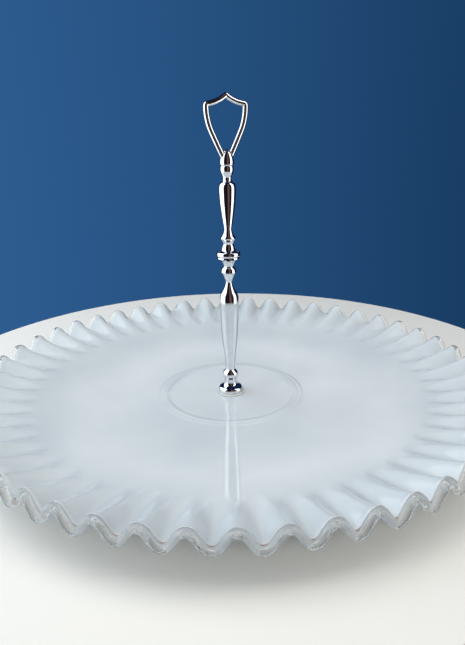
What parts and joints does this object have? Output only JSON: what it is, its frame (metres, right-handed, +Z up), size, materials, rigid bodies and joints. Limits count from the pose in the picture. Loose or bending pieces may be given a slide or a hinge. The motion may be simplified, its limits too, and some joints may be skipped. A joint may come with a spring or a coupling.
{
  "type": "cake stand",
  "caption": "Low cake plate in crimped milk glass with a clear edge and a chrome loop handle screwed through its centre, for serving and carrying cakes.",
  "frame": {"origin": "on the table plane, under the centre of the plate's foot ring", "axes": "+Z up along the handle, -Y towards the side seen first"},
  "size_m": [0.3222, 0.3222, 0.1952],
  "materials": {
    "milk_glass": "polished opaque white",
    "clear_glass": "fire polished clear",
    "clear_vinyl": "smooth translucent",
    "chrome": "bright plated",
    "zinc_steel": "zinc plated",
    "rubber": "matte"
  },
  "bodies": {
    "plate": {"glass_plate": "milk_glass", "crest_edge": "clear_glass"},
    "handle": {"flange_washer": "clear_vinyl", "lower_spindle": "chrome", "joining_stud": "zinc_steel", "upper_spindle": "chrome", "finial_stud": "zinc_steel", "finial_dome": "chrome", "loop_handle": "chrome"},
    "clamp_washers": {"rubber_washer": "rubber", "cup_washer": "zinc_steel"},
    "screw": {"base_screw": "zinc_steel"}
  },
  "joints": [
    {"name": "handle_swivel", "type": "hinge", "parent": "plate", "child": "handle", "pos_m": [0, 0, 0.0135], "axis": [0, 0, 1], "continuous": true},
    {"name": "washer_drop", "type": "slide", "parent": "handle", "child": "clamp_washers", "axis": [0, 0, -1], "range_m": [0, 0.0111]},
    {"name": "screw_turn", "type": "hinge", "parent": "clamp_washers", "child": "screw", "pos_m": [0, 0, 0], "axis": [0, 0, -1], "range_deg": [0, 5040]}
  ],
  "couplings": [
    {"joint": "screw_turn", "follows": "washer_drop", "rad_per_m": 7915.8}
  ]
}
